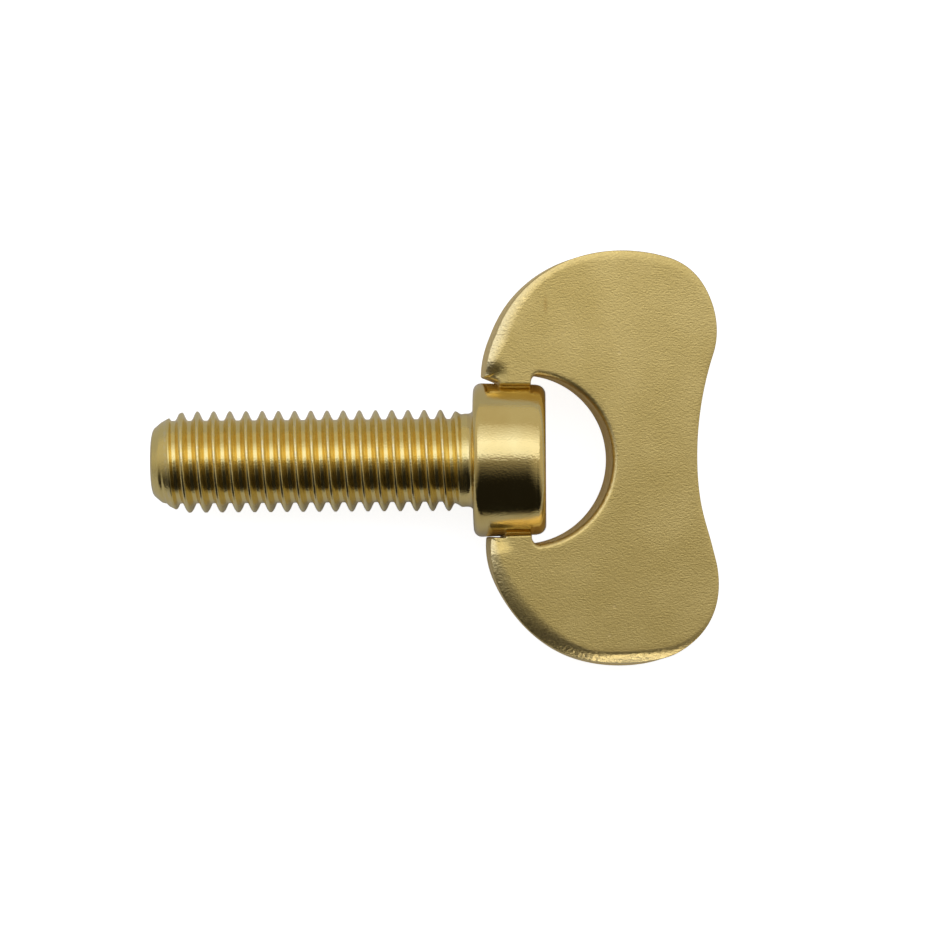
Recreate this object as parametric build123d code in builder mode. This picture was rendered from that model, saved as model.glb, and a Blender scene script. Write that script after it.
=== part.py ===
# Wing bolt: a headed screw with a plain round collar, and a stamped wing welded to the collar by two necks.
# It lies along X with its point towards -X. The origin is on its axis in the collar's seat plane, with Z up.
import os
from math import radians, sqrt, tan
from build123d import *

# Shank, drawn at the crest of its M8 thread, with the bare blank left under the collar
crest_diameter = 7.85
shank_length = 24.8
blank_diameter = 7.2
blank_length = 0.7
runout_length = 0.5
underhead_overlap = 0.1
underhead_length = 0.4

# Rolled point of the shank: a blunt cone, then the lead of the thread
point_diameter = 5.3
point_bevel = 0.3
cone_diameter = 6.3
cone_length = 0.9
lead_length = 1.5

# Collar, with the draft of its heading die
collar_diameter = 11.9
collar_length = 5.6
collar_draft = 1.5
seat_edge_bevel = 0.45
outer_edge_round = 0.75

# Wing plate, with its reaches along the bolt taken from the seat plane
plate_thickness = 4.4
wing_span = 32.2
tip_reach = 0.6
outer_reach = 18.85
waist_depth = 1.6
shoulder_radius = 6.0
crown_setback = 1.4
wing_edge_round = 1.0
wing_back_bevel = 0.3

# Eye left open between the wing and the collar
eye_reach = 10.55
eye_clearance = 0.6
eye_corner_round = 0.55
eye_edge_round = 0.5
eye_back_bevel = 0.3

# Welded necks, and the slit that keeps each tip of the wing clear of the collar
neck_width = 2.15
neck_root_share = 0.75
slit_width = 0.28
slit_depth = 0.2
tip_inner_round = 0.1

# Lean of the wing on its welds, with its outer edge down
wing_lean = 7.0

os.makedirs("parts", exist_ok=True)

# Screw, turned about the axis of the bolt, with the seam of its surfaces underneath
tip = -shank_length
seat_radius = collar_diameter / 2
end_radius = seat_radius - collar_length * tan(radians(collar_draft))
with BuildPart() as screw:
    with BuildSketch(Plane.XZ):
        with BuildLine():
            Polyline(
                (tip, 0),
                (tip, -point_diameter / 2),
                (tip + cone_length, -cone_diameter / 2),
                (tip + cone_length + lead_length, -crest_diameter / 2),
                (-blank_length - runout_length, -crest_diameter / 2),
                (-blank_length, -blank_diameter / 2),
                (-underhead_length, -blank_diameter / 2),
                (0, -crest_diameter / 2 - underhead_overlap),
                (0, -seat_radius),
                (collar_length, -end_radius),
                (collar_length, 0),
                close=True,
            )
        make_face()
    revolve(axis=Axis.X)
    rims = screw.edges().filter_by(GeomType.CIRCLE).group_by(Axis.X)
    chamfer(rims[0], point_bevel)
    chamfer(rims[-2].sort_by(SortBy.RADIUS)[-1], seat_edge_bevel)
    fillet(rims[-1], outer_edge_round)
screw.part.label = "screw"
export_step(screw.part, "parts/screw.step")

# Flank arc, rising from the tip line beside the collar to level off at the crown
shoulder_x = outer_reach - shoulder_radius
tip_line = seat_radius + slit_width
crown = Vector(shoulder_x - crown_setback, wing_span / 2)
flank_run = crown - Vector(tip_reach, tip_line)
flank_radius = flank_run.length**2 / (2 * flank_run.Y)
flank_centre = Vector(crown.X, crown.Y - flank_radius)

# Tip arc, turning smoothly from the flank into the slit
tip_round = wing_edge_round + tip_inner_round
tip_rise = tip_line + tip_round - flank_centre.Y
tip_x = crown.X - sqrt((flank_radius - tip_round) ** 2 - tip_rise**2)
tip_centre = Vector(tip_x, tip_line + tip_round)
flank_start = flank_centre + (tip_centre - flank_centre).normalized() * flank_radius

# Shoulder arc, running smoothly from the flank to the wing's outer reach
shoulder_rise = sqrt((flank_radius - shoulder_radius) ** 2 - crown_setback**2)
shoulder_centre = Vector(shoulder_x, flank_centre.Y + shoulder_rise)
flank_end = flank_centre + (shoulder_centre - flank_centre).normalized() * flank_radius

# Hollow arc of the waist, running smoothly into both shoulders
waist_reach = outer_reach - waist_depth
waist_gap = waist_reach - shoulder_x
waist_bow = shoulder_centre.Y**2 + waist_gap**2 - shoulder_radius**2
waist_radius = waist_bow / (2 * waist_depth)
waist_centre = Vector(waist_reach + waist_radius, 0)
shoulder_end = shoulder_centre + (waist_centre - shoulder_centre).normalized() * shoulder_radius

# Necks, each between a slit and the eye, and the eye arc from one neck round to the other
neck_start = tip_x + slit_depth
neck_end = neck_start + neck_width
neck_root = seat_radius * neck_root_share
eye_end = Vector(neck_end, seat_radius + eye_clearance)
eye_run = Vector(eye_reach, 0) - eye_end
eye_radius = eye_run.length**2 / (2 * eye_run.X)

# Plane of the wing, leaning about the line through both welds
weld_line = Plane(origin=((neck_start + neck_end) / 2, 0, 0))
wing_plane = weld_line.rotated((0, wing_lean, 0)) * Location((-weld_line.origin.X, 0, 0))

# Wing, stamped from plate with a slit at each tip, rolled over on its upper edges and bevelled on its lower
# ones, then trimmed to the collar
with BuildPart() as wing:
    with BuildSketch(wing_plane) as stamping:
        with BuildLine():
            Polyline((tip_x, tip_line), (neck_start, tip_line), (neck_start, neck_root))
            Polyline((neck_start, neck_root), (neck_end, neck_root), eye_end)
            RadiusArc((tip_x, tip_line), flank_start, tip_round)
            RadiusArc(flank_start, flank_end, flank_radius)
            ThreePointArc(flank_end, (outer_reach, shoulder_centre.Y), shoulder_end)
            mirror(about=Plane.XZ)
            ThreePointArc(shoulder_end, (waist_reach, 0), (shoulder_end.X, -shoulder_end.Y))
            ThreePointArc(eye_end, (eye_reach, 0), (eye_end.X, -eye_end.Y))
        make_face()
        neck_corners = stamping.vertices().group_by(lambda v: round(v.X - neck_end, 4) == 0)[-1]
        fillet(neck_corners.group_by(lambda v: round(abs(v.Y), 4))[-1], eye_corner_round)
    extrude(amount=plate_thickness / 2, both=True)
    arcs = wing.edges().filter_by(GeomType.CIRCLE)
    waist_arcs = arcs.filter_by(lambda arc: round(arc.radius - waist_radius, 4) == 0).sort_by(Axis.Z)
    fillet(waist_arcs[-1], wing_edge_round)
    chamfer(waist_arcs[0], wing_back_bevel)
    arcs = wing.edges().filter_by(GeomType.CIRCLE)
    eye_arcs = arcs.filter_by(lambda arc: round(arc.radius - eye_radius, 4) == 0).sort_by(Axis.Z)
    fillet(eye_arcs[-1], eye_edge_round)
    chamfer(eye_arcs[0], eye_back_bevel)
    add(screw.part, mode=Mode.SUBTRACT)
wing.part.label = "wing"
export_step(wing.part, "parts/wing.step")
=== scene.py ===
"""Looks of the wing bolt: the threaded screw, the stamped wing, their brass finishes and the stage."""
from math import atan2, cos, pi, radians, sin, sqrt, tan
from types import SimpleNamespace

import bpy
import numpy as np
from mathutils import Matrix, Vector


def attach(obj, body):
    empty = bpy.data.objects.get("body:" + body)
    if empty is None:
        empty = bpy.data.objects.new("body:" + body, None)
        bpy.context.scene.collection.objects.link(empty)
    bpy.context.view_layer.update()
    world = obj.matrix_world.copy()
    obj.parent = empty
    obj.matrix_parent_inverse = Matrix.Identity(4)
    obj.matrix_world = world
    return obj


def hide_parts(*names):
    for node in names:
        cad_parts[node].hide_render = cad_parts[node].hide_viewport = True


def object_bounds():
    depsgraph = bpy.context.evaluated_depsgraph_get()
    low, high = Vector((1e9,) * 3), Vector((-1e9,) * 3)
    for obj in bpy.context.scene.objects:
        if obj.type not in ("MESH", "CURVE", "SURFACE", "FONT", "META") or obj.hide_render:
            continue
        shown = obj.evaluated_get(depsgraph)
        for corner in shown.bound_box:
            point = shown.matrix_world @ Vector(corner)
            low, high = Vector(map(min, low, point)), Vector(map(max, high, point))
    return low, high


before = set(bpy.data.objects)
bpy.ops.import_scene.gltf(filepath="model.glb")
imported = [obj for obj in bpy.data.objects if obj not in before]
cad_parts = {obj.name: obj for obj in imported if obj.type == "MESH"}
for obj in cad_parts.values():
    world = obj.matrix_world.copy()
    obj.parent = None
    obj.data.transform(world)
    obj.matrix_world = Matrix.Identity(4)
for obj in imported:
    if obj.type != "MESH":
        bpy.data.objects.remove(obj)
cad_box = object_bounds()

bl_info = {
    "name": "Wing Bolt",
    "version": (1, 0, 0),
    "blender": (4, 5, 0),
    "location": "View3D > Sidebar > Wing Bolt",
    "description": "Builds a brass wing bolt with a rolled thread and a stamped wing",
    "category": "Object",
}

# Ways that the wing's edge faces, each as its middle and spread in degrees from +X towards +Y
UPPER_SHOULDER = (52, 24)
CROWN = (75, 55)
UPPER_FLANK = (128, 26)
LEFT = (165, 42)
LOWER_FLANK = (-138, 40)
SOLE = (-88, 40)
LOWER_SHOULDER = (-70, 16)

# Ways of facing at which the set back of each flank begins and is full
UPPER_TIP = (138, 165)
LOWER_TIP = (-108, -150)

# Columns of points round the wing's plate: over its rolled edge, across its face, into the eye, down a wall
# and across its back
ROLL, FACE, EYE, WALL, BACK = 14, 22, 8, 3, 10

# Share of the collar's radius from which the necks are drawn before they are fitted to the collar
NECK_FOOT = 0.9


def size(name, description, default):
    """A length in metres."""
    return bpy.props.FloatProperty(
        name=name, description=description, default=default, unit="LENGTH", precision=5)


def pair(name, description, upper, lower):
    """A length in metres for each half of the wing."""
    return bpy.props.FloatVectorProperty(
        name=name, description=description, default=(upper, lower), size=2, unit="LENGTH", precision=5)


def share(name, description, default):
    """A number without a unit."""
    return bpy.props.FloatProperty(name=name, description=description, default=default, precision=4)


def turn(name, description, degrees):
    """An angle, given in degrees."""
    return bpy.props.FloatProperty(
        name=name, description=description, default=radians(degrees), subtype="ANGLE")


def hue(name, description, code):
    """A colour, given as an sRGB hex code."""
    return bpy.props.FloatVectorProperty(
        name=name, description=description, default=linear(code), size=3, subtype="COLOR", min=0, max=1)


def linear(code):
    """An sRGB hex code as linear red, green and blue."""
    channels = [int(code[n:n + 2], 16) / 255 for n in (1, 3, 5)]
    return tuple(c / 12.92 if c <= 0.04045 else ((c + 0.055) / 1.055) ** 2.4 for c in channels)


class WINGBOLT_PG_screw(bpy.types.PropertyGroup):
    pitch: size("Pitch", "Advance of the thread in one turn", 0.00125)
    crest_radius: size("Crest radius", "Radius over the crests of the thread", 0.003915)
    root_radius: size("Root radius", "Radius at the roots of the thread", 0.0032)
    blank_radius: size("Blank radius", "Radius of the bare blank under the collar", 0.0036)
    first_crest: size("First crest", "Place along X of a crest on the +Y side", -0.02254)
    shank_length: size("Shank length", "From the seat to the point", 0.0248)
    point_length: size("Point length", "From the tip to the start of the thread", 0.0002)
    fade_start: size("Fade start", "Where the thread begins to run out, from the seat", 0.0019)
    fade_end: size("Fade end", "Where the thread has run out, from the seat", 0.0006)
    flare: size("Flare", "Radius of the flare between the blank and the seat", 0.00042)
    blunting: size("Blunting", "Height over which the lead's crests are blunted", 0.0003)
    seat_radius: size("Seat radius", "Collar radius at the seat", 0.00593)
    collar_length: size("Collar length", "From the seat to the collar's outer end", 0.0056)
    collar_draft: turn("Collar draft", "Taper of the collar's side", 1.5)
    seat_round: size("Seat edge round", "Radius of the collar's edge at the seat", 0.00062)
    end_round: size("Outer edge round", "Radius of the collar's outer edge", 0.00075)
    end_middle: size("Outer end middle", "Radius at which the outer end draws together", 0.0008)
    step: size("Step", "Spacing of the stations along the thread", 0.00005)
    columns: bpy.props.IntProperty(name="Columns", description="Points round the axis", default=132)


class WINGBOLT_PG_wing(bpy.types.PropertyGroup):
    thickness: size("Thickness", "Thickness of the plate", 0.0044)
    span: size("Span", "Width across the wing", 0.03213)
    tip_reach: size("Tip reach", "Reach from the seat plane at which the flanks are aimed", 0.0006)
    outer_reach: size("Outer reach", "Reach of the shoulders from the seat plane", 0.01875)
    waist_depth: size("Waist depth", "Hollow of the outer edge between the shoulders", 0.0016)
    shoulder_radius: size("Shoulder radius", "Radius of each shoulder", 0.006)
    crown_setback: size("Crown setback", "Widest point, behind the shoulder's centre", 0.0014)
    slit_width: size("Slit width", "Gap to the collar at which the flanks are aimed", 0.00028)
    tip_turn: turn("Tip turn", "Angle on the flank's arc where the tip's own curve begins", 157.8)
    tip_corner: pair("Tip corner", "Reach of each tip's corner from the seat plane", 0.00075, 0.00089)
    corner_round: size("Corner round", "Run of the rounded corner of each tip", 0.00014)
    ledge_turn: bpy.props.FloatVectorProperty(
        name="Ledge turn", description="Where the rolled edge turns each tip's corner, from the tip's side",
        default=(0.0001, -0.00005), size=2, unit="LENGTH", precision=5)
    tip_droop: pair("Tip droop", "How far each tip's face sinks at its slit", 0.0003, 0.00022)
    droop_run: size("Droop run", "How far from the slit a tip's face begins to sink", 0.0014)
    droop_from: size("Droop from", "Where the droop begins to fade, from the neck's start", -0.0006)
    droop_to: size("Droop to", "Where the droop has faded, from the neck's start", 0.0008)
    edge_width: size("Edge width", "Least width of the rolled outer edge on the upper face", 0.00028)
    edge_swell: share("Edge swell", "Greatest share added to that width", 6.0)
    edge_slope: turn("Edge slope", "Slope of the rolled edge where it meets the wall", 24.0)
    wall_draft: size("Wall draft", "How far the wall leans in between its two edges", 0.00022)
    shoulder_swell: size("Shoulder swell", "Fullness of the upper shoulder beyond its arc", 0.0002)
    flank_swell: size("Flank swell", "Fullness of the upper flank beyond its arc", 0.00014)
    sole_swell: size("Sole swell", "Fullness of the lower shoulder beyond its arc", 0.00013)
    waist_swell: size("Waist swell", "Fullness of the lower half of the waist", 0.00018)
    waist_place: size("Waist place", "Where that fullness is greatest, from the bolt's axis", 0.0064)
    waist_run: size("Waist run", "How far that fullness spreads", 0.0022)
    flank_setback: pair("Flank setback", "Set back of each flank near its tip", 0.00012, 0.00028)
    back_bevel: size("Back bevel", "Bevel of the lower edges", 0.0003)
    eye_reach: size("Eye reach", "Far side of the eye from the seat plane", 0.01055)
    eye_clearance: size("Eye clearance", "Gap between the collar and the eye's shoulders", 0.0006)
    eye_corner: size("Eye corner", "Round between each neck and the eye", 0.00055)
    eye_round: size("Eye edge round", "Rolled round of the eye's upper edge", 0.00042)
    neck_round: size("Neck edge round", "Round of the necks' edges", 0.00012)
    neck_droop: size("Neck droop", "How far the necks' faces fold down to the collar", 0.0005)
    weld_start: pair("Weld start", "Where each neck begins", 0.00185, 0.00225)
    weld_end: size("Weld end", "Where the necks end", 0.004235)
    weld_sink: size("Weld sink", "Depth to which the necks melt into the collar", 0.00003)
    notch: pair("Notch", "Gap at the closed end of each slit", 0.00004, 0.00006)
    mouth: pair("Mouth", "Gap at the open end of each slit", 0.00048, 0.00016)
    lean: turn("Lean", "Lean of the wing on its welds, outer edge down", 7.0)
    lean_axis: size("Lean axis", "Place along X of the line that the wing leans about", 0.00316)


class WINGBOLT_PG_finish(bpy.types.PropertyGroup):
    bright: hue("Bright brass", "Plating on the screw", "#EBD38C")
    bright_deep: hue("Deep brass", "Deeper tone of the plating on the screw", "#E4C980")
    thread: hue("Thread", "Deeper plating in the thread", "#EED68A")
    crest: hue("Crest", "Paler plating on the thread's crests", "#EBDAA6")
    satin: hue("Satin brass", "Plating on the wing", "#D0B66E")
    satin_deep: hue("Deep satin", "Deeper tone of the plating on the wing", "#C6AC64")
    # brighter colour of the rolled edges: partly real burnish and partly a painted highlight
    burnish_and_highlight: hue("Burnish", "Brighter plating on the wing's rolled edges", "#E9D49A")
    stain: hue("Stain", "Tan stain in the plating", "#A67F3C")
    wall: hue("Wall", "Dull brownish plating on the sheared walls", "#E6CB86")
    paper: hue("Paper", "Pale paper of the floor", "#D8D8D6")
    panel: hue("Panel", "Cool white of the soft panels", "#C8D6FF")
    room: hue("Room", "Warm white of the room", "#FFFAEE")
    bright_cloud: size("Bright cloud", "Width of a cloud in the bright plating", 0.002381)
    grit: size("Grit", "Width of a worn dot on the thread's crests", 0.0003846)
    satin_cloud: size("Satin cloud", "Width of a cloud in the satin plating", 0.004348)
    grain: size("Grain", "Width of a tumbling mark on the wing", 0.00012)
    grain_length: size("Grain length", "Length of a tumbling mark on the wing", 0.0002182)
    pit_spacing: size("Pit spacing", "Distance between pits in the wing's face", 0.00303)
    ripple: size("Ripple", "Width of a ripple in the wing's rolled edges", 0.0002381)
    # A pixel shows 0.08 mm. Real specks, die marks, frost crystals and paper fibres are finer than that, so
    # these are drawn coarser, at a pixel or more.
    speckle: size("Speckle", "Width of a speck in the bright plating", 0.00014286)
    die_width: size("Die mark width", "Width of a mark that the heading die left", 0.00009091)
    die_length: size("Die mark length", "Length of such a mark", 0.002)
    frost: size("Frost", "Width of a crystal in the satin plating", 0.00009091)
    fibre: size("Fibre", "Width of a tuft of fibres in the paper", 0.001111)


class WINGBOLT_PG_stage(bpy.types.PropertyGroup):
    height: size("Camera height", "Camera above the bolt's axis", 0.309)
    foot: size("Camera foot", "Place along X under the camera", 0.0056)
    lens: share("Lens", "Focal length in millimetres on a 36 mm sensor", 151.6)
    shift_x: share("Shift X", "Sideways framing, as a share of the width", -0.0747)
    shift_y: share("Shift Y", "Upward framing, as a share of the width", -0.0157)
    roll: turn("Roll", "Turn of the camera about its own axis", -0.4)
    paper_size: size("Paper size", "Side of the paper under the bolt", 4.0)
    paper_glow: share("Paper glow", "Light that the paper adds to show as white", 0.88)
    mirrored_glow: share("Mirrored glow", "Share of that light that shows in the metal", 0.07)


def put(tree, kind, inputs=None, output=0, **settings):
    """Adds one node with its settings, gives each input, by name or number, a value or a link, and returns
    an output. A colour mix goes by number: input 0 is the share, 6 and 7 the colours, output 2 the mix."""
    node = tree.nodes.new(kind)
    for name, value in settings.items():
        setattr(node, name, value)
    for name, value in (inputs or {}).items():
        if isinstance(value, bpy.types.NodeSocket):
            tree.links.new(value, node.inputs[name])
        else:
            node.inputs[name].default_value = value
    return node.outputs[output]


def smooth(low, high, x):
    """Rises smoothly from 0 at low to 1 at high."""
    t = np.clip((x - low) / (high - low), 0, 1)
    return t * t * (3 - 2 * t)


def arc(centre, radius, start, end, count):
    """Points on a circle from one angle to another."""
    angle = np.linspace(start, end, count)
    return np.asarray(centre) + radius * np.stack([np.cos(angle), np.sin(angle)], axis=-1)


def bent(start, hold, end, t):
    """Points on the quadratic curve that leaves start towards hold and comes from hold to end."""
    return (1 - t) ** 2 * start + 2 * t * (1 - t) * hold + t**2 * end


def grid_faces(rows, columns):
    """Quads of a grid whose columns close on themselves."""
    i, j = np.meshgrid(np.arange(rows - 1), np.arange(columns), indexing="ij")
    k = (j + 1) % columns
    corners = [i * columns + j, i * columns + k, (i + 1) * columns + k, (i + 1) * columns + j]
    return np.stack(corners, axis=-1).reshape(-1, 4)


def closed_tube(name, grid, first_end, last_end):
    """A closed mesh from a grid of rings, with each end drawn together to one point."""
    rows, columns = grid.shape[:2]
    points = np.concatenate([grid.reshape(-1, 3), [first_end], [last_end]])
    j = np.arange(columns)
    k = (j + 1) % columns
    top = (rows - 1) * columns
    first = np.stack([k, j, np.full(columns, rows * columns)], axis=-1)
    last = np.stack([top + j, top + k, np.full(columns, rows * columns + 1)], axis=-1)
    faces = grid_faces(rows, columns).tolist() + first.tolist() + last.tolist()
    mesh = bpy.data.meshes.new(name)
    mesh.from_pydata(points.tolist(), [], faces)
    mesh.validate()
    mesh.polygons.foreach_set("use_smooth", np.ones(len(mesh.polygons), bool))
    piece = bpy.data.objects.new(name, mesh)
    bpy.context.scene.collection.objects.link(piece)
    return piece


def thread_depth(turns):
    """Depth of the thread from 0 at a crest to 1 at a root, against the distance along the axis in pitches:
    a narrow flat crest, a flank eased at both its ends, and a flat root."""
    crest_flat, flank_run, easing = 0.1, 0.68, 0.06
    away = 2 * np.abs(turns - np.round(turns))
    flank = np.clip((away - crest_flat) / flank_run, 0, 1)
    return flank - easing * np.sin(2 * pi * flank)


def screw_profile(p):
    """Stations of the screw from the middle of its point to the middle of its outer end, as X and radius:
    the rounded point, the thread at its crest radius, the flare and the collar. Also gives which of them
    are threaded."""
    tip = -p.shank_length
    point_x = tip + np.array([0.0, 0.00001, 0.00003, 0.00009, 0.00018])
    point_r = np.array([0.0011, 0.0017, 0.00225, 0.00247, 0.00262])
    thread_x = np.arange(tip + p.point_length, -p.flare, p.step)
    flare = arc((-p.flare, p.blank_radius + p.flare), p.flare, -pi / 2, 0, 8)
    edge = arc((p.seat_round, p.seat_radius - p.seat_round), p.seat_round, pi, pi / 2 + p.collar_draft, 8)
    end_r = p.seat_radius - p.collar_length * tan(p.collar_draft)
    brim_x = p.collar_length - p.end_round
    side = np.linspace(edge[-1], (brim_x, end_r + p.end_round * tan(p.collar_draft)), 8)
    brim = arc((brim_x, end_r - p.end_round), p.end_round, pi / 2 - 2 * p.collar_draft, 0, 12)
    lid = np.linspace(brim[-1], (p.collar_length, p.end_middle), 6)
    collar = np.concatenate([flare, edge, side[1:], brim, lid[1:]])
    x = np.concatenate([point_x, thread_x, collar[:, 0]])
    r = np.concatenate([point_r, np.full(len(thread_x), p.crest_radius), collar[:, 1]])
    threaded = np.zeros(len(x), bool)
    threaded[len(point_x):len(point_x) + len(thread_x)] = True
    return x, r, threaded


def screw_surface(p):
    """Radius over a grid of stations and angles: the turned profile, and in its thread a helical groove that
    is blunted to the cone at the point and fades into the bare blank under the collar. Also gives how much
    of each point is thread and how much is crest."""
    x, r, threaded = screw_profile(p)
    angle = np.arange(p.columns) / p.columns * 2 * pi
    along, around = np.meshgrid(x, angle, indexing="ij")
    radius = np.repeat(r[:, None], p.columns, axis=1)
    depth = thread_depth((along - p.first_crest) / p.pitch - around / (2 * pi))
    groove = p.crest_radius - (p.crest_radius - p.root_radius) * depth
    held = smooth(-p.fade_end, -p.fade_start, along)
    rolled = p.blank_radius + held * (groove - p.blank_radius)

    # lead of the thread: a bulging cone, as its radius against the distance from the tip
    lead_x = [0.0002, 0.0007, 0.0011, 0.0018, 0.0025, 0.0032]
    lead_r = [0.00264, 0.00307, 0.0033, 0.00366, 0.00392, 0.0042]
    cone = np.interp(along + p.shank_length, lead_x, lead_r)
    gap = np.clip(0.5 + (cone - rolled) / p.blunting, 0, 1)
    blunt = cone + (rolled - cone) * gap - p.blunting / 2 * gap * (1 - gap)
    radius = np.where(threaded[:, None], blunt, radius)
    thread = np.where(threaded[:, None], 1.0, 0.0) + np.zeros_like(depth)
    worn_share, worn_from, worn_to = 0.75, 0.01, 0.10
    crest = worn_share * thread * held * (1 - smooth(worn_from, worn_to, depth))
    points = np.stack([along, radius * np.cos(around), radius * np.sin(around)], axis=-1)
    return points, thread.ravel(), crest.ravel()


def wing_arcs(p, seat):
    """Centres and radii of the flank, shoulder and waist arcs, each running smoothly into the next, and the
    angles at which they meet."""
    line = seat + p.slit_width
    shoulder_x = p.outer_reach - p.shoulder_radius
    crown = np.array([shoulder_x - p.crown_setback, p.span / 2])
    reach = crown - (p.tip_reach, line)
    flank_r = (reach @ reach) / (2 * reach[1])
    flank = crown - (0, flank_r)
    rise = sqrt((flank_r - p.shoulder_radius) ** 2 - p.crown_setback**2)
    shoulder = np.array([shoulder_x, flank[1] + rise])
    waist_x = p.outer_reach - p.waist_depth
    waist_gap = waist_x - shoulder_x
    waist_r = (shoulder[1] ** 2 + waist_gap**2 - p.shoulder_radius**2) / (2 * p.waist_depth)
    waist = np.array([waist_x + waist_r, 0])
    to_shoulder = atan2(*(shoulder - flank)[::-1])
    to_waist = atan2(*(waist - shoulder)[::-1])
    return (flank, flank_r), (shoulder, p.shoulder_radius), (waist, waist_r), (to_shoulder, to_waist)


def normals(curve, side):
    """Unit vectors square to a curve, on its right-hand side for 1 and its left-hand side for -1."""
    tangent = np.gradient(curve, axis=0)
    tangent /= np.maximum(np.linalg.norm(tangent, axis=1, keepdims=True), 1e-12)
    return side * np.stack([tangent[:, 1], -tangent[:, 0]], axis=-1)


def hump(facing, edge):
    """1 where an edge faces its middle angle, falling smoothly to 0 by its spread, all in degrees."""
    middle, spread = edge
    return np.exp(-(((facing - middle + 180) % 360 - 180) / spread) ** 2)


def eye_curve(p, seat, outer, slit_row, flank_row):
    """Inner curve of one half: the neck, the eye's corner, and half of the eye's arc. It has a point for
    each point of the outer curve, and past the corner the two go round the eye's centre in step."""
    end = np.array([p.weld_end, seat + p.eye_clearance])
    span = np.array([p.eye_reach, 0]) - end
    eye_r = (span @ span) / (2 * span[0])
    eye_x = p.eye_reach - eye_r
    corner_x = p.weld_end + p.eye_corner
    corner = np.array([corner_x, sqrt((eye_r - p.eye_corner) ** 2 - (corner_x - eye_x) ** 2)])
    eye_start = atan2(corner[1], corner[0] - eye_x)
    neck = np.linspace((p.weld_end, NECK_FOOT * seat), (p.weld_end, corner[1]), slit_row)
    corner_points = arc(corner, p.eye_corner, pi, eye_start, flank_row - slit_row + 1)
    rest = outer[flank_row - 1:]
    sweep = np.arctan2(rest[:, 1], rest[:, 0] - eye_x)
    swept = sweep / sweep[0] * eye_start
    eye_points = (eye_x, 0) + eye_r * np.stack([np.cos(swept), np.sin(swept)], axis=-1)
    return np.concatenate([neck, corner_points[1:-1], eye_points])


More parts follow.
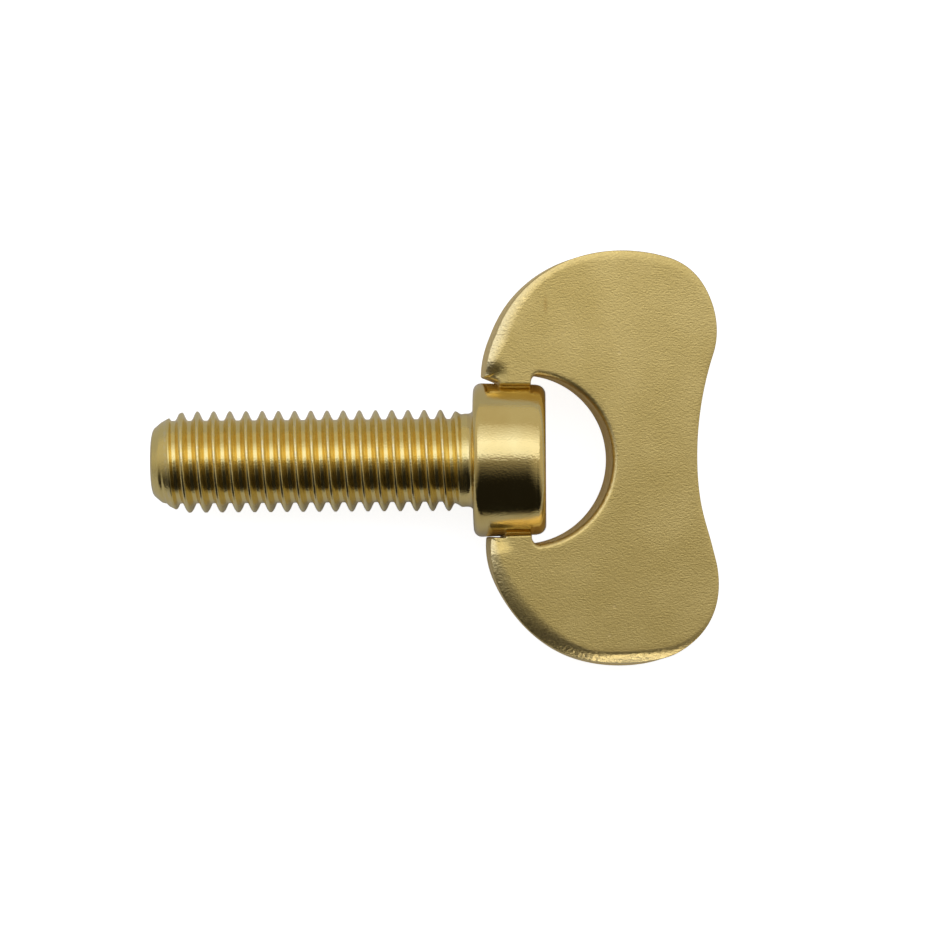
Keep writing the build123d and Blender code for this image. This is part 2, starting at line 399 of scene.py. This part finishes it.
def wing_half(p, seat, half):
    """One half of the wing, drawn as its upper half from the weld to the middle. It gives, row by row: the
    outer curve, its normals into the plate, and the ledge where the rolled edge ends on the upper face; the
    eye's curve and its normals; the wall's draft; the rolled edge's width, slope and power, and its share of
    a smoother, brighter finish, partly real burnish and partly a painted highlight; the eye's lip; and how
    near the row is to the weld."""
    (flank, flank_r), (shoulder, shoulder_r), (waist, waist_r), meets = wing_arcs(p, seat)
    to_shoulder, to_waist = meets
    notch = np.array([p.weld_start[half], seat + p.notch[half]])
    corner = np.array([p.tip_corner[half], seat + p.mouth[half]])

    # outer curve: neck, slit, rounded corner, tip, flank, shoulder and half of the waist
    flank_points = arc(flank, flank_r, p.tip_turn, to_shoulder, 64)
    tip_end = flank_points[0]
    hold = tip_end + (tip_end[1] - corner[1]) / 2 * np.array([tan(p.tip_turn), -1])
    neck = np.linspace((notch[0], NECK_FOOT * seat), notch, 8)
    cut = p.corner_round / np.linalg.norm(corner - notch)
    slit = np.linspace(notch, corner + (notch - corner) * cut, 12)
    t = np.linspace(p.corner_round / np.linalg.norm(2 * (hold - corner)), 1, 18)[:, None]
    tip = bent(corner, hold, tip_end, t)
    s = np.linspace(0, 1, 12)[:, None]
    bend = bent(slit[-1], corner, tip[0], s)
    shoulder_points = arc(shoulder, shoulder_r, to_shoulder, to_waist, 48)
    waist_points = arc(waist, waist_r, to_waist + pi, pi, 24)
    outer = np.concatenate(
        [neck, slit[1:], bend[1:], tip[1:], flank_points[1:], shoulder_points[1:], waist_points[1:]])
    inward = normals(outer, 1)
    inward[-1] = (-1, 0)
    rows = np.arange(len(outer))
    slit_row = len(neck)
    bend_row = slit_row + len(slit) - 1
    tip_row = bend_row + len(bend) - 1
    flank_row = tip_row + len(tip) - 1

    # rolled edge, widest on the lower flank and steepest along the sole, and the lean of the wall below it:
    # each way of facing takes its own share of their full sizes
    facing = np.degrees(np.arctan2(-inward[:, 1] * (1 - 2 * half), -inward[:, 0]))
    crown, left, lower_flank, sole = (hump(facing, edge) for edge in (CROWN, LEFT, LOWER_FLANK, SOLE))
    swell = np.maximum.reduce([0.3 * crown, 0.5 * left, 0.7 * lower_flank, 0.42 * sole])
    width = p.edge_width * (1 + p.edge_swell * swell)
    power = 1.15 + 1.6 * sole
    # smoother, brighter finish on the rolled edge, most on the left flank and sole: partly real burnish,
    # partly a painted highlight
    gloss = np.maximum.reduce([left, 0.3 * lower_flank, sole])
    slope = p.edge_slope * (0.3 + 0.7 * np.maximum.reduce([left, 0.85 * lower_flank, sole]) + 0.75 * sole)
    draft = p.wall_draft * (0.15 - 1.2 * lower_flank + 1.7 * sole) * smooth(slit_row + 1, tip_row, rows)
    ledge = outer + inward * (draft + width)[:, None]

    # end of the rolled edge round the tip: beside the neck, along the slit, round the corner, up the tip
    inset = (draft + width)[flank_row] * (0.4 + 0.6 * t[1:])
    ledge[tip_row:flank_row] = outer[tip_row:flank_row] + inward[tip_row:flank_row] * inset
    begin = notch + p.neck_round
    turned = ledge[tip_row] + p.ledge_turn
    ledge[:slit_row] = outer[:slit_row] + (p.neck_round, 0)
    ledge[slit_row:bend_row] = (begin + (turned - begin) * s)[1:]
    ledge[bend_row:tip_row] = (turned + (ledge[tip_row] - turned) * s)[:-1]
    width = np.linalg.norm(ledge - outer - inward * draft[:, None], axis=1)

    # fullness of the shoulders, the upper flank and the lower waist, and each flank's set back near its tip
    fuller = (p.shoulder_swell * hump(facing, UPPER_SHOULDER) + p.flank_swell * hump(facing, UPPER_FLANK)
              + p.sole_swell * hump(facing, LOWER_SHOULDER))
    beyond_eye = outer[:, 0] > p.eye_reach
    waist_lift = np.exp(-((outer[:, 1] - p.waist_place) / p.waist_run) ** 2) * beyond_eye
    near_tip = smooth(*(LOWER_TIP if half else UPPER_TIP), facing)
    back = p.flank_setback[half] * near_tip - p.waist_swell * waist_lift * half
    shift = inward * (back - fuller)[:, None]
    shift[:flank_row] = shift[flank_row] * smooth(slit_row - 1, bend_row, rows[:flank_row, None])
    outer = outer + shift
    ledge = ledge + shift

    inner = eye_curve(p, seat, outer, slit_row, flank_row)
    into = normals(inner, -1)
    into[-1] = (1, 0)
    lip = p.neck_round + (p.eye_round - p.neck_round) * smooth(slit_row, flank_row + 1, rows)
    weld = np.clip(1 - rows / (slit_row - 1), 0, 1)
    return {
        "outer": outer, "inward": inward, "ledge": ledge, "inner": inner, "into": into, "draft": draft,
        "width": width, "slope": slope, "power": power, "gloss": gloss, "lip": lip, "weld": weld}


def joined_halves(p, seat):
    """The rows of the upper half, then those of the lower half turned over and taken backwards."""
    upper, lower = wing_half(p, seat, 0), wing_half(p, seat, 1)
    rows = SimpleNamespace()
    for name, values in lower.items():
        mirrored = values * (1, -1) if values.ndim == 2 else values
        setattr(rows, name, np.concatenate([upper[name], mirrored[-2::-1]]))
    return rows


def lift(flat, height):
    """Points in the plate's plane, raised to their heights."""
    return np.concatenate([flat, height[..., None]], axis=2)


def between(start, end, count):
    """Evenly spaced columns of points strictly between two columns."""
    t = np.linspace(0, 1, count + 2)[None, 1:-1, None]
    return start[:, None] + (end - start)[:, None] * t


def plate_rings(p, rows):
    """Rings round the flat plate, one for each row. Each ring rolls over from the outer wall to the upper
    face, crosses to the eye, rolls down into it, and returns across the lower face. The height of the
    rolled edge is the sum of its slope, which falls from the crease to nothing at the ledge. Also gives how
    much of each point is rolled."""
    half = p.thickness / 2
    count = len(rows.outer)
    along = np.linspace(0, 1, count)
    crease = rows.outer + rows.inward * rows.draft[:, None]
    heel = np.minimum(p.back_bevel, rows.lip)[:, None]

    # slope of the rolled edge, a little uneven along the wing, and the fall that it adds up to
    uneven = 1 + 0.05 * np.sin(43 * along) + 0.05 * np.sin(97 * along + 1)
    reach = np.linspace(0, 1, ROLL)
    steep = 1 - reach[None] ** rows.power[:, None]
    fall = np.tan((rows.slope * uneven)[:, None] * steep) * rows.width[:, None]
    drop = np.cumsum((fall[:, 1:] + fall[:, :-1])[:, ::-1] / (2 * (ROLL - 1)), axis=1)[:, ::-1]
    over = crease[:, None] + (rows.ledge - crease)[:, None] * reach[None, :, None]
    upper = lift(over, half - np.concatenate([drop, np.zeros((count, 1))], axis=1))

    angle = np.linspace(pi / 2, 0, EYE)
    lip = rows.lip[:, None]
    down = rows.inner[:, None] + rows.into[:, None] * (lip * (1 - np.cos(angle)))[..., None]
    eye = lift(down, half - lip * (1 - np.sin(angle)))
    bevel = np.array([0.0, 1.0])
    inset = (heel * bevel)[..., None]
    under = lift(rows.inner[:, None] + rows.into[:, None] * inset, heel * (1 - bevel) - half)
    inset = (heel * (1 - bevel))[..., None]
    lower = lift(rows.outer[:, None] + rows.inward[:, None] * inset, heel * bevel - half)
    rings = np.concatenate([
        upper, between(upper[:, -1], eye[:, 0], FACE), eye, between(eye[:, -1], under[:, 0], WALL), under,
        between(under[:, -1], lower[:, 0], BACK), lower, between(lower[:, -1], upper[:, 0], WALL)], axis=1)
    rolled = np.zeros(rings.shape[:2])
    # rolled edge's share of the smoother, brighter finish: partly real burnish and partly a painted
    # highlight
    rolled[:, :ROLL] = rows.gloss[:, None] * steep
    rolled[:, ROLL + FACE:ROLL + FACE + EYE] = np.linspace(0, 1, EYE)
    return rings, rolled


def wing_surface(p, collar):
    """The plate's rings from weld to weld, with the tips drooping and the necks folded down, leaning on the
    welds, and with both ends drawn on to the collar. Also gives how much of each point is rolled edge and
    how much is wall."""
    seat = collar.seat_radius
    rows = joined_halves(p, seat)
    rings, rolled = plate_rings(p, rows)
    edge_columns = 2
    wall = np.concatenate([
        np.zeros(ROLL + FACE + EYE - 1), np.ones(1 + WALL + edge_columns), np.zeros(BACK),
        np.ones(edge_columns + WALL)])

    half = p.thickness / 2
    u, v, w = rings[..., 0] - p.lean_axis, rings[..., 1], rings[..., 2]
    side = np.where(v > 0, 0, 1)
    near_slit = 1 - smooth(0, p.droop_run, np.abs(v) - seat - np.array(p.mouth)[side])
    beside_neck = 1 - smooth(p.droop_from, p.droop_to, u + p.lean_axis - np.array(p.weld_start)[side])
    fold_from, fold_to = 0.15, 0.85
    fold = smooth(fold_from, fold_to, rows.weld)[:, None]
    droop = np.array(p.tip_droop)[side] * near_slit**1.5 * beside_neck + p.neck_droop * fold
    w = w - droop * np.clip((w + half) / p.thickness, 0, 1)
    x = p.lean_axis + u * cos(p.lean) + w * sin(p.lean)
    z = w * cos(p.lean) - u * sin(p.lean)
    skin = seat - np.clip(x, collar.seat_round, None) * tan(collar.collar_draft) - p.weld_sink
    rim = np.sqrt(skin**2 - z**2)
    v = v + np.sign(v) * (rim - NECK_FOOT * seat) * rows.weld[:, None]
    return np.stack([x, v, z], axis=-1), rolled.ravel(), np.tile(wall, len(rings))


def brass(name, detail):
    """A plated metal whose colour, roughness and bumps come from its own function."""
    material = bpy.data.materials.new(name)
    material.use_nodes = True
    tree = material.node_tree
    shader = tree.nodes["Principled BSDF"]
    shader.inputs["Metallic"].default_value = 1.0
    place = put(tree, "ShaderNodeTexCoord", output="Object")
    for socket, result in detail(tree, place).items():
        tree.links.new(result, shader.inputs[socket])
    return material


def bright_plating(tree, place):
    """Bright brass plating over a headed and rolled blank: close to a mirror, with a fine speckle, faint die
    marks round the axis, and paler, worn crests where the thread was rolled up."""
    p = bpy.context.scene.wingbolt_finish
    thread = put(tree, "ShaderNodeAttribute", output="Fac", attribute_name="thread")
    crest = put(tree, "ShaderNodeAttribute", output="Fac", attribute_name="crest")
    grit = put(tree, "ShaderNodeTexNoise", {"Vector": place, "Scale": 1 / p.grit, "Detail": 2.0})
    worn = put(tree, "ShaderNodeMapRange", {
        "Value": grit, "From Min": 0.42, "From Max": 0.58, "To Min": 0.15})
    crest = put(tree, "ShaderNodeMath", {0: crest, 1: worn}, operation="MULTIPLY")
    cloud = put(tree, "ShaderNodeTexNoise", {
        "Vector": place, "Scale": 1 / p.bright_cloud, "Detail": 3.0})
    cloud = put(tree, "ShaderNodeMapRange", {"Value": cloud, "From Min": 0.35, "From Max": 0.65})
    tint = put(tree, "ShaderNodeMix", {0: cloud, 6: (*p.bright, 1), 7: (*p.bright_deep, 1)}, 2,
               data_type="RGBA")
    tint = put(tree, "ShaderNodeMix", {0: thread, 6: tint, 7: (*p.thread, 1)}, 2, data_type="RGBA")
    tint = put(tree, "ShaderNodeMix", {0: crest, 6: tint, 7: (*p.crest, 1)}, 2, data_type="RGBA")

    speckle = put(tree, "ShaderNodeTexNoise", {"Vector": place, "Scale": 1 / p.speckle, "Detail": 2.0})
    dull = put(tree, "ShaderNodeMapRange", {
        "Value": speckle, "From Min": 0.3, "From Max": 0.7, "To Min": 0.07, "To Max": 0.15})
    rough = put(tree, "ShaderNodeMath", {0: thread, 1: 0.12, 2: dull}, operation="MULTIPLY_ADD")
    drawn = put(tree, "ShaderNodeMapping", {
        "Vector": place, "Scale": (1 / p.die_width, 1 / p.die_length, 1 / p.die_length)})
    marks = put(tree, "ShaderNodeTexNoise", {"Vector": drawn, "Scale": 1.0, "Detail": 2.0})
    normal = put(tree, "ShaderNodeBump", {"Height": marks, "Strength": 0.10, "Distance": 0.00001})
    raised = put(tree, "ShaderNodeMapRange", {"Value": crest, "To Min": 0.6, "To Max": 0.8})
    normal = put(tree, "ShaderNodeBump", {
        "Height": speckle, "Strength": raised, "Distance": 0.00002, "Normal": normal})
    return {"Base Color": tint, "Roughness": rough, "Normal": normal}


def spot(tree, place, at, half_sizes, turned=0.0):
    """A soft spot on the wing's face, 1 at its middle and 0 beyond its half sizes along X and Y."""
    moved = put(tree, "ShaderNodeVectorMath", {0: place, 1: at}, operation="SUBTRACT")
    inside = put(tree, "ShaderNodeMapping", {
        "Vector": moved, "Rotation": (0, 0, turned), "Scale": (1 / half_sizes[0], 1 / half_sizes[1], 0)})
    away = put(tree, "ShaderNodeVectorMath", {0: inside}, "Value", operation="LENGTH")
    return put(tree, "ShaderNodeMapRange", {"Value": away, "To Min": 1.0, "To Max": 0.0})


def satin_plating(tree, place):
    """Satin brass plating over tumbled plate: short shallow marks along the bolt on the face, smoother,
    glossier and brighter in colour on the rolled edges, partly as real burnish and partly as a painted
    highlight, dull and brownish on the sheared walls, with a tan stain, a scratch and a few pits."""
    p = bpy.context.scene.wingbolt_finish
    stain_at, stain_size = (0.00565, 0.0119, 0), (0.00022, 0.0009)
    scratch_at, scratch_size, scratch_turn = (0.0126, -0.0053, 0), (0.0006, 0.00005), radians(-42)

    rolled = put(tree, "ShaderNodeAttribute", output="Fac", attribute_name="rolled")
    wall = put(tree, "ShaderNodeAttribute", output="Fac", attribute_name="wall")
    cloud = put(tree, "ShaderNodeTexNoise", {
        "Vector": place, "Scale": 1 / p.satin_cloud, "Detail": 3.0})
    cloud = put(tree, "ShaderNodeMapRange", {"Value": cloud, "From Min": 0.35, "From Max": 0.65})
    tint = put(tree, "ShaderNodeMix", {0: cloud, 6: (*p.satin, 1), 7: (*p.satin_deep, 1)}, 2,
               data_type="RGBA")
    # brighter colour on the rolled edges: partly real burnish and partly a painted highlight
    tint = put(tree, "ShaderNodeMix", {0: rolled, 6: tint, 7: (*p.burnish_and_highlight, 1)}, 2, data_type="RGBA")
    stain = spot(tree, place, stain_at, stain_size)
    stain = put(tree, "ShaderNodeMath", {0: stain, 1: 0.5}, operation="MULTIPLY")
    tint = put(tree, "ShaderNodeMix", {0: stain, 6: tint, 7: (*p.stain, 1)}, 2, data_type="RGBA")
    cells = put(tree, "ShaderNodeTexVoronoi", {"Vector": place, "Scale": 1 / p.pit_spacing})
    pits = put(tree, "ShaderNodeMapRange", {
        "Value": cells, "From Min": 0.025, "From Max": 0.06, "To Min": 1.0, "To Max": 0.0})
    scratch = spot(tree, place, scratch_at, scratch_size, scratch_turn)
    flaws = put(tree, "ShaderNodeMath", {0: pits, 1: scratch}, operation="MAXIMUM")
    faint = put(tree, "ShaderNodeMath", {0: flaws, 1: 0.45}, operation="MULTIPLY")
    tint = put(tree, "ShaderNodeMix", {0: faint, 6: tint, 7: (*p.wall, 1)}, 2, data_type="RGBA")
    tint = put(tree, "ShaderNodeMix", {0: wall, 6: tint, 7: (*p.wall, 1)}, 2, data_type="RGBA")

    drawn = put(tree, "ShaderNodeMapping", {
        "Vector": place, "Scale": (1 / p.grain_length, 1 / p.grain, 1 / p.grain)})
    marks = put(tree, "ShaderNodeTexNoise", {
        "Vector": drawn, "Scale": 1.0, "Detail": 3.0, "Distortion": 0.3})
    frost = put(tree, "ShaderNodeTexNoise", {"Vector": place, "Scale": 1 / p.frost, "Detail": 2.0})
    ripple = put(tree, "ShaderNodeTexNoise", {"Vector": place, "Scale": 1 / p.ripple, "Detail": 2.0})
    rough = put(tree, "ShaderNodeMapRange", {
        "Value": marks, "From Min": 0.3, "From Max": 0.7, "To Min": 0.31, "To Max": 0.41})
    rough = put(tree, "ShaderNodeMath", {0: rolled, 1: -0.06, 2: rough}, operation="MULTIPLY_ADD")
    rough = put(tree, "ShaderNodeMath", {0: wall, 1: 0.25, 2: rough}, operation="MULTIPLY_ADD")

    normal = put(tree, "ShaderNodeBump", {"Height": frost, "Strength": 0.7, "Distance": 0.00001})
    deep = put(tree, "ShaderNodeMapRange", {"Value": rolled, "To Min": 0.29, "To Max": 0.5})
    normal = put(tree, "ShaderNodeBump", {
        "Height": marks, "Strength": deep, "Distance": 0.00005, "Normal": normal})
    sunk = put(tree, "ShaderNodeMath", {0: marks, 1: flaws}, operation="SUBTRACT")
    normal = put(tree, "ShaderNodeBump", {
        "Height": sunk, "Strength": 0.12, "Distance": 0.00004, "Normal": normal})
    rippled = put(tree, "ShaderNodeMath", {0: rolled, 1: 0.9}, operation="MULTIPLY")
    normal = put(tree, "ShaderNodeBump", {
        "Height": ripple, "Strength": rippled, "Distance": 0.00006, "Normal": normal})
    metal = put(tree, "ShaderNodeMapRange", {"Value": wall, "To Min": 1.0, "To Max": 0.55})
    return {"Base Color": tint, "Roughness": rough, "Normal": normal, "Metallic": metal}


def store(piece, name, values):
    """Stores a value at each point of a piece's mesh, and 0 at the two points that close its ends."""
    layer = piece.data.attributes.new(name, "FLOAT", "POINT")
    layer.data.foreach_set("value", np.append(values, (0, 0)).astype(np.float32))


def place_piece(piece, node, material):
    """Puts a finish on a piece and gives it a node's place in the frame."""
    piece.data.materials.append(material)
    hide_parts(node)
    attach(piece, "root")


class WINGBOLT_OT_screw(bpy.types.Operator):
    """Builds the screw with its rolled thread and collar, in bright brass plating"""
    bl_idname = "wingbolt.screw"
    bl_label = "Screw"

    def execute(self, context):
        p = context.scene.wingbolt_screw
        grid, thread, crest = screw_surface(p)
        piece = closed_tube("rolled_screw", grid, (-p.shank_length, 0, 0), (p.collar_length, 0, 0))
        store(piece, "thread", thread)
        store(piece, "crest", crest)
        place_piece(piece, "screw", brass("bright_brass_plating", bright_plating))
        return {"FINISHED"}


class WINGBOLT_OT_wing(bpy.types.Operator):
    """Builds the stamped wing with its rolled edges, in satin brass plating"""
    bl_idname = "wingbolt.wing"
    bl_label = "Wing"

    def execute(self, context):
        grid, rolled, wall = wing_surface(context.scene.wingbolt_wing, context.scene.wingbolt_screw)
        piece = closed_tube("stamped_wing", grid, grid[0].mean(axis=0), grid[-1].mean(axis=0))
        store(piece, "rolled", rolled)
        store(piece, "wall", wall)
        place_piece(piece, "wing", brass("satin_brass_plating", satin_plating))
        return {"FINISHED"}


def paper(finish, stage):
    """White matte paper that takes the bolt's soft shadow. A glow makes it show as white to the camera, and
    a small share of that glow shows in the metal."""
    material = bpy.data.materials.new("white_paper")
    material.use_nodes = True
    tree = material.node_tree
    tree.nodes.remove(tree.nodes["Principled BSDF"])
    place = put(tree, "ShaderNodeTexCoord", output="Object")
    tufts = put(tree, "ShaderNodeTexNoise", {"Vector": place, "Scale": 1 / finish.fibre, "Detail": 3.0})
    normal = put(tree, "ShaderNodeBump", {"Height": tufts, "Strength": 0.05, "Distance": 0.00002})
    matte = put(tree, "ShaderNodeBsdfDiffuse", {"Color": (*finish.paper, 1), "Normal": normal})
    glow = put(tree, "ShaderNodeEmission", {"Strength": stage.paper_glow})
    both = put(tree, "ShaderNodeAddShader", {0: matte, 1: glow})
    rays = put(tree, "ShaderNodeLightPath").node.outputs
    mirrored = put(tree, "ShaderNodeMath", {0: rays["Is Glossy Ray"], 1: rays["Is Transmission Ray"]},
                   operation="MAXIMUM")
    faint = put(tree, "ShaderNodeMath", {0: mirrored, 1: stage.mirrored_glow}, operation="MULTIPLY")
    seen = put(tree, "ShaderNodeMath", {0: rays["Is Camera Ray"], 1: faint}, operation="MAXIMUM")
    mix = put(tree, "ShaderNodeMixShader", {0: seen, 1: matte, 2: both})
    tree.links.new(mix, tree.nodes["Material Output"].inputs["Surface"])
    return material


def panel_light(name, colour, towards, tilt, distance, width, depth, radiance, only=None):
    """A soft panel tilted from straight overhead towards a compass angle, both in degrees, facing the bolt
    and as bright as radiance says. It lights everything, or only one piece."""
    light = bpy.data.lights.new(name, "AREA")
    light.shape = "RECTANGLE"
    light.size, light.size_y = width, depth
    light.color = colour
    light.energy = radiance * pi * width * depth
    lamp = bpy.data.objects.new(name, light)
    compass, lowered = radians(towards), radians(tilt)
    out = distance * sin(lowered)
    lamp.location = (out * cos(compass), out * sin(compass), distance * cos(lowered))
    lamp.rotation_euler = (-lowered, 0, compass - pi / 2)
    bpy.context.scene.collection.objects.link(lamp)
    if only:
        lit = bpy.data.collections.new(f"lit_by_{name}")
        lit.objects.link(only)
        lamp.light_linking.receiver_collection = lit


def room(colour, dark, light):
    """A room that is light on the +Y side and at both ends of X, more so at +X, and dark on the -Y side,
    with a soft change between."""
    world = bpy.data.worlds.new("room")
    world.use_nodes = True
    tree = world.node_tree
    towards = put(tree, "ShaderNodeTexCoord", output="Generated")
    axes = put(tree, "ShaderNodeSeparateXYZ", {0: towards}).node.outputs
    ends = put(tree, "ShaderNodeMath", {0: axes["X"]}, operation="ABSOLUTE")
    side = put(tree, "ShaderNodeMath", {0: ends, 1: 0.42, 2: axes["Y"]}, operation="MULTIPLY_ADD")
    side = put(tree, "ShaderNodeMath", {0: axes["X"], 1: 0.15, 2: side}, operation="MULTIPLY_ADD")
    level = put(tree, "ShaderNodeMapRange", {
        "Value": side, "From Min": -0.48, "From Max": 0.5, "To Min": dark, "To Max": light},
        interpolation_type="SMOOTHSTEP")
    shade = tree.nodes["Background"]
    shade.inputs["Color"].default_value = (*colour, 1)
    tree.links.new(level, shade.inputs["Strength"])
    return world


class WINGBOLT_OT_stage(bpy.types.Operator):
    """Lays the paper, sets the soft panels and places the camera"""
    bl_idname = "wingbolt.stage"
    bl_label = "Stage"

    def execute(self, context):
        scene = context.scene
        p, finish = scene.wingbolt_stage, scene.wingbolt_finish
        low, far = cad_box[0][2], p.paper_size / 2
        corners = [(-far, -far, low), (far, -far, low), (far, far, low), (-far, far, low)]
        mesh = bpy.data.meshes.new("paper")
        mesh.from_pydata(corners, [], [(0, 1, 2, 3)])
        mesh.materials.append(paper(finish, p))
        floor = bpy.data.objects.new("paper", mesh)
        scene.collection.objects.link(floor)

        cool, warm = finish.panel, finish.room
        wing = bpy.data.objects["stamped_wing"]
        # each panel's compass angle and tilt in degrees, then its distance, width and depth in metres
        panel_light("panel_wide", cool, 90, 27.5, 0.45, 0.9, 0.42, radiance=0.40)
        panel_light("panel_middle", cool, 90, 22.5, 0.44, 0.8, 0.294, radiance=0.36)
        panel_light("panel_core", cool, 90, 18.5, 0.43, 0.7, 0.20, radiance=0.50)
        panel_light("panel_left", cool, 165, 38, 0.20, 0.13, 0.12, radiance=0.7, only=wing)
        panel_light("panel_top", warm, 75, 21, 0.20, 0.06, 0.05, radiance=1.5, only=wing)
        panel_light("panel_side", warm, -70, 74, 0.45, 0.34, 0.14, radiance=2.8, only=wing)
        scene.world = room(warm, dark=0.012, light=0.55)

        lens = bpy.data.cameras.new("camera")
        lens.sensor_width = 36.0
        lens.lens = p.lens
        lens.shift_x, lens.shift_y = p.shift_x, p.shift_y
        lens.clip_start, lens.clip_end = 0.01, 20.0
        camera = bpy.data.objects.new("camera", lens)
        camera.location = (p.foot, 0, p.height)
        camera.rotation_euler = (0, 0, p.roll)
        scene.collection.objects.link(camera)
        scene.camera = camera
        scene.view_settings.view_transform = "Standard"
        return {"FINISHED"}


class WINGBOLT_PT_panel(bpy.types.Panel):
    """Builds the wing bolt from the sidebar"""
    bl_label = "Wing Bolt"
    bl_idname = "WINGBOLT_PT_panel"
    bl_space_type = "VIEW_3D"
    bl_region_type = "UI"
    bl_category = "Wing Bolt"

    def draw(self, context):
        for step in ("screw", "wing", "stage"):
            self.layout.operator(f"wingbolt.{step}")


GROUPS = {
    "wingbolt_screw": WINGBOLT_PG_screw,
    "wingbolt_wing": WINGBOLT_PG_wing,
    "wingbolt_finish": WINGBOLT_PG_finish,
    "wingbolt_stage": WINGBOLT_PG_stage,
}
CLASSES = (*GROUPS.values(), WINGBOLT_OT_screw, WINGBOLT_OT_wing, WINGBOLT_OT_stage, WINGBOLT_PT_panel)


def register():
    for cls in CLASSES:
        bpy.utils.register_class(cls)
    for name, group in GROUPS.items():
        setattr(bpy.types.Scene, name, bpy.props.PointerProperty(type=group))


def unregister():
    for name in GROUPS:
        delattr(bpy.types.Scene, name)
    for cls in reversed(CLASSES):
        bpy.utils.unregister_class(cls)


def main():
    register()
    bpy.ops.wingbolt.screw()
    bpy.ops.wingbolt.wing()
    bpy.ops.wingbolt.stage()


if __name__ == "__main__":
    main()
